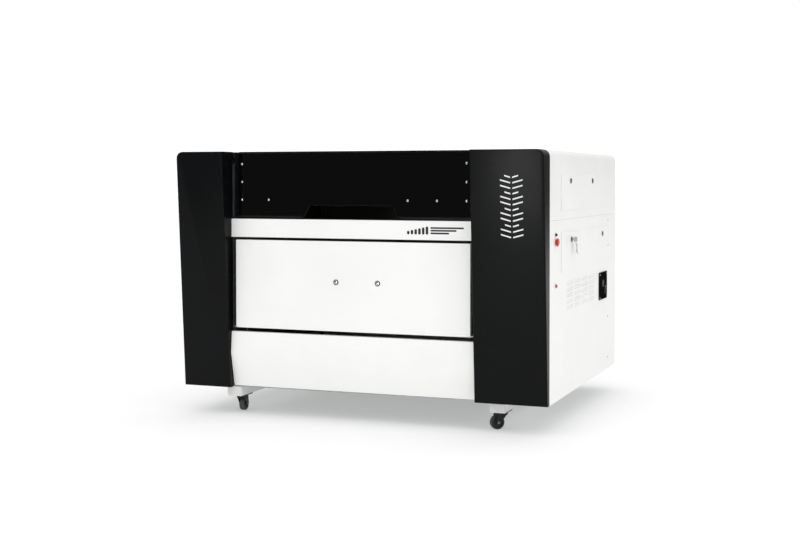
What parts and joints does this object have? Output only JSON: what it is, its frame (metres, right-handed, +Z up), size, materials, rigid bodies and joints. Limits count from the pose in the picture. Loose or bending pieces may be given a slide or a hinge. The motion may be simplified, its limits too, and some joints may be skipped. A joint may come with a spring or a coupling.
{
  "type": "laser engraver",
  "caption": "Enclosed CO2 laser engraver on casters: smoked lid, fold-down front door, gantry with laser head, lifting bed and access covers.",
  "frame": {"origin": "on the floor under the middle of the whole machine's box", "axes": "+X to the machine's right as an operator faces its front, +Y from front to back, +Z up"},
  "size_m": [1.514, 1.3132, 1.054],
  "materials": {
    "white": "white powder coat, fine satin texture",
    "black": "black powder coat, satin",
    "smoked": "smoked acrylic sheet, polished",
    "steel": "zinc-plated steel",
    "aluminium": "clear anodised aluminium",
    "chrome": "polished chrome plate",
    "tube_glass": "clear borosilicate glass",
    "red_plastic": "moulded red plastic",
    "yellow_plastic": "moulded yellow plastic",
    "black_plastic": "moulded black plastic",
    "rubber": "grey rubber tread"
  },
  "bodies": {
    "cabinet": {"base_rail_left": "steel", "base_rail_right": "steel", "floor_pan": "steel", "left_pillar": "black", "right_pillar": "black", "front_bar": "white", "lower_front_panel": "white", "left_side_panel": "white", "right_side_panel": "white", "left_top_casing": "white", "right_top_casing": "white", "rear_panel": "white", "exhaust_collar": "steel", "inner_wall_left": "white", "inner_wall_right": "white", "inner_wall_rear": "white", "scrap_tray": "steel", "control_panel": "black_plastic", "y_rail_left": "aluminium", "y_rail_right": "aluminium", "laser_tube": "tube_glass", "estop_collar": "yellow_plastic", "inlet_plate": "black_plastic"},
    "lid": {"lid_frame": "black", "lid_front_window": "smoked", "lid_top_window": "smoked"},
    "front_door": {"front_door": "white"},
    "tube_cover": {"tube_cover": "white"},
    "upper_cover": {"upper_cover": "white"},
    "lower_cover": {"lower_cover": "white"},
    "gantry": {"gantry_beam": "aluminium"},
    "laser_head": {"laser_head": "aluminium"},
    "drive_shaft": {"y_drive_shaft": "steel"},
    "bed": {"bed_table": "aluminium"},
    "estop_button": {"estop_button": "red_plastic"},
    "start_button": {"start_button": "red_plastic"},
    "key_switch": {"key_switch": "black_plastic"},
    "main_switch": {"main_switch": "black_plastic"},
    "strut_left": {"strut_tube_left": "black"},
    "strut_rod_left": {"strut_rod_left": "chrome"},
    "front_lock_left": {"front_lock_left": "chrome"},
    "strut_right": {"strut_tube_right": "black"},
    "strut_rod_right": {"strut_rod_right": "chrome"},
    "front_lock_right": {"front_lock_right": "chrome"},
    "upper_lock_front": {"upper_lock_front": "chrome"},
    "lower_lock_front": {"lower_lock_front": "chrome"},
    "upper_lock_rear": {"upper_lock_rear": "chrome"},
    "lower_lock_rear": {"lower_lock_rear": "chrome"},
    "lead_screw_front_left": {"lead_screw_front_left": "steel"},
    "caster_front_left": {"caster_fork_front_left": "steel"},
    "wheel_front_left": {"caster_wheel_front_left": "rubber"},
    "lead_screw_front_right": {"lead_screw_front_right": "steel"},
    "caster_front_right": {"caster_fork_front_right": "steel"},
    "wheel_front_right": {"caster_wheel_front_right": "rubber"},
    "lead_screw_rear_left": {"lead_screw_rear_left": "steel"},
    "caster_rear_left": {"caster_fork_rear_left": "steel"},
    "wheel_rear_left": {"caster_wheel_rear_left": "rubber"},
    "lead_screw_rear_right": {"lead_screw_rear_right": "steel"},
    "caster_rear_right": {"caster_fork_rear_right": "steel"},
    "wheel_rear_right": {"caster_wheel_rear_right": "rubber"}
  },
  "joints": [
    {"name": "lid_hinge", "type": "hinge", "parent": "cabinet", "child": "lid", "pos_m": [-0.0445, 0.3105, 1.05], "axis": [-1, 0, 0], "range_deg": [0, 50]},
    {"name": "strut_left_swing", "type": "hinge", "parent": "cabinet", "child": "strut_left", "pos_m": [-0.538, 0.2575, 0.97], "axis": [-1, 0, 0], "range_deg": [0, 51.4]},
    {"name": "strut_left_stroke", "type": "slide", "parent": "strut_left", "child": "strut_rod_left", "axis": [0, -0.9979, 0.0646], "range_m": [0, 0.0814]},
    {"name": "strut_right_swing", "type": "hinge", "parent": "cabinet", "child": "strut_right", "pos_m": [0.449, 0.2575, 0.97], "axis": [-1, 0, 0], "range_deg": [0, 51.4]},
    {"name": "strut_right_stroke", "type": "slide", "parent": "strut_right", "child": "strut_rod_right", "axis": [0, -0.9979, 0.0646], "range_m": [0, 0.0814]},
    {"name": "front_door_hinge", "type": "hinge", "parent": "cabinet", "child": "front_door", "pos_m": [-0.0445, -0.5775, 0.349], "axis": [1, 0, 0], "range_deg": [0, 90]},
    {"name": "front_lock_left_turn", "type": "hinge", "parent": "front_door", "child": "front_lock_left", "pos_m": [-0.1, -0.5769, 0.54], "axis": [0, 1, 0], "range_deg": [0, 90]},
    {"name": "front_lock_right_turn", "type": "hinge", "parent": "front_door", "child": "front_lock_right", "pos_m": [0.073, -0.5769, 0.54], "axis": [0, 1, 0], "range_deg": [0, 90]},
    {"name": "tube_cover_hinge", "type": "hinge", "parent": "cabinet", "child": "tube_cover", "pos_m": [-0.0445, 0.6075, 1.0475], "axis": [-1, 0, 0], "range_deg": [0, 75]},
    {"name": "upper_cover_tilt", "type": "hinge", "parent": "cabinet", "child": "upper_cover", "pos_m": [0.7449, -0.0715, 0.818], "axis": [0, 1, 0], "range_deg": [0, 40]},
    {"name": "lower_cover_tilt", "type": "hinge", "parent": "cabinet", "child": "lower_cover", "pos_m": [0.7449, 0.022, 0.585], "axis": [0, 1, 0], "range_deg": [0, 40]},
    {"name": "upper_lock_front_turn", "type": "hinge", "parent": "upper_cover", "child": "upper_lock_front", "pos_m": [0.7453, -0.2485, 0.931], "axis": [1, 0, 0], "range_deg": [0, 90]},
    {"name": "upper_lock_rear_turn", "type": "hinge", "parent": "upper_cover", "child": "upper_lock_rear", "pos_m": [0.7453, 0.1345, 0.931], "axis": [1, 0, 0], "range_deg": [0, 90]},
    {"name": "lower_lock_front_turn", "type": "hinge", "parent": "lower_cover", "child": "lower_lock_front", "pos_m": [0.7453, -0.2335, 0.705], "axis": [1, 0, 0], "range_deg": [0, 90]},
    {"name": "lower_lock_rear_turn", "type": "hinge", "parent": "lower_cover", "child": "lower_lock_rear", "pos_m": [0.7453, 0.3315, 0.705], "axis": [1, 0, 0], "range_deg": [0, 90]},
    {"name": "estop_press", "type": "slide", "parent": "cabinet", "child": "estop_button", "axis": [-1, 0, 0], "range_m": [0, 0.0028]},
    {"name": "start_press", "type": "slide", "parent": "cabinet", "child": "start_button", "axis": [-1, 0, 0], "range_m": [0, 0.003], "stiffness_N_per_m": 300},
    {"name": "key_switch_turn", "type": "hinge", "parent": "cabinet", "child": "key_switch", "pos_m": [0.7434, -0.4785, 0.732], "axis": [1, 0, 0], "range_deg": [0, 90]},
    {"name": "main_switch_rock", "type": "hinge", "parent": "cabinet", "child": "main_switch", "pos_m": [0.7414, 0.3355, 0.492], "axis": [0, -1, 0], "range_deg": [0, 12]},
    {"name": "gantry_travel", "type": "slide", "parent": "cabinet", "child": "gantry", "axis": [0, -1, 0], "range_m": [0, 0.66]},
    {"name": "head_travel", "type": "slide", "parent": "gantry", "child": "laser_head", "axis": [1, 0, 0], "range_m": [0, 0.79]},
    {"name": "drive_shaft_spin", "type": "hinge", "parent": "cabinet", "child": "drive_shaft", "pos_m": [-0.0445, 0.2995, 0.935], "axis": [1, 0, 0], "range_deg": [0, 3153]},
    {"name": "bed_lift", "type": "slide", "parent": "cabinet", "child": "bed", "axis": [0, 0, 1], "range_m": [0, 0.22]},
    {"name": "lead_screw_front_left_spin", "type": "hinge", "parent": "cabinet", "child": "lead_screw_front_left", "pos_m": [-0.533, -0.4825, 0.483], "axis": [0, 0, 1], "range_deg": [0, 7921]},
    {"name": "lead_screw_front_right_spin", "type": "hinge", "parent": "cabinet", "child": "lead_screw_front_right", "pos_m": [0.444, -0.4825, 0.483], "axis": [0, 0, 1], "range_deg": [0, 7921]},
    {"name": "lead_screw_rear_left_spin", "type": "hinge", "parent": "cabinet", "child": "lead_screw_rear_left", "pos_m": [-0.533, 0.2475, 0.483], "axis": [0, 0, 1], "range_deg": [0, 7921]},
    {"name": "lead_screw_rear_right_spin", "type": "hinge", "parent": "cabinet", "child": "lead_screw_rear_right", "pos_m": [0.444, 0.2475, 0.483], "axis": [0, 0, 1], "range_deg": [0, 7921]},
    {"name": "caster_front_left_swivel", "type": "hinge", "parent": "cabinet", "child": "caster_front_left", "pos_m": [-0.5545, -0.4865, 0.0696], "axis": [0, 0, 1], "continuous": true},
    {"name": "wheel_front_left_spin", "type": "hinge", "parent": "caster_front_left", "child": "wheel_front_left", "pos_m": [-0.55659, -0.46661, 0.027], "axis": [0.9945, 0.1045, 0], "continuous": true},
    {"name": "caster_front_right_swivel", "type": "hinge", "parent": "cabinet", "child": "caster_front_right", "pos_m": [0.5405, -0.4865, 0.0696], "axis": [0, 0, 1], "continuous": true},
    {"name": "wheel_front_right_spin", "type": "hinge", "parent": "caster_front_right", "child": "wheel_front_right", "pos_m": [0.52474, -0.49881, 0.027], "axis": [-0.6157, 0.788, 0], "continuous": true},
    {"name": "caster_rear_left_swivel", "type": "hinge", "parent": "cabinet", "child": "caster_rear_left", "pos_m": [-0.5545, 0.5175, 0.0696], "axis": [0, 0, 1], "continuous": true},
    {"name": "wheel_rear_left_spin", "type": "hinge", "parent": "caster_rear_left", "child": "wheel_rear_left", "pos_m": [-0.54766, 0.53629, 0.027], "axis": [0.9397, -0.342, 0], "continuous": true},
    {"name": "caster_rear_right_swivel", "type": "hinge", "parent": "cabinet", "child": "caster_rear_right", "pos_m": [0.5405, 0.5175, 0.0696], "axis": [0, 0, 1], "continuous": true},
    {"name": "wheel_rear_right_spin", "type": "hinge", "parent": "caster_rear_right", "child": "wheel_rear_right", "pos_m": [0.52903, 0.53388, 0.027], "axis": [0.8192, 0.5736, 0], "continuous": true}
  ],
  "couplings": [
    {"joint": "strut_left_swing", "follows": "lid_hinge", "ratio": 1.0185},
    {"joint": "strut_left_stroke", "follows": "lid_hinge", "m_per_rad": 0.092682},
    {"joint": "strut_right_swing", "follows": "lid_hinge", "ratio": 1.0185},
    {"joint": "strut_right_stroke", "follows": "lid_hinge", "m_per_rad": 0.092682},
    {"joint": "drive_shaft_spin", "follows": "gantry_travel", "rad_per_m": 83.333},
    {"joint": "lead_screw_front_left_spin", "follows": "bed_lift", "rad_per_m": 628.32},
    {"joint": "lead_screw_front_right_spin", "follows": "bed_lift", "rad_per_m": 628.32},
    {"joint": "lead_screw_rear_left_spin", "follows": "bed_lift", "rad_per_m": 628.32},
    {"joint": "lead_screw_rear_right_spin", "follows": "bed_lift", "rad_per_m": 628.32}
  ]
}
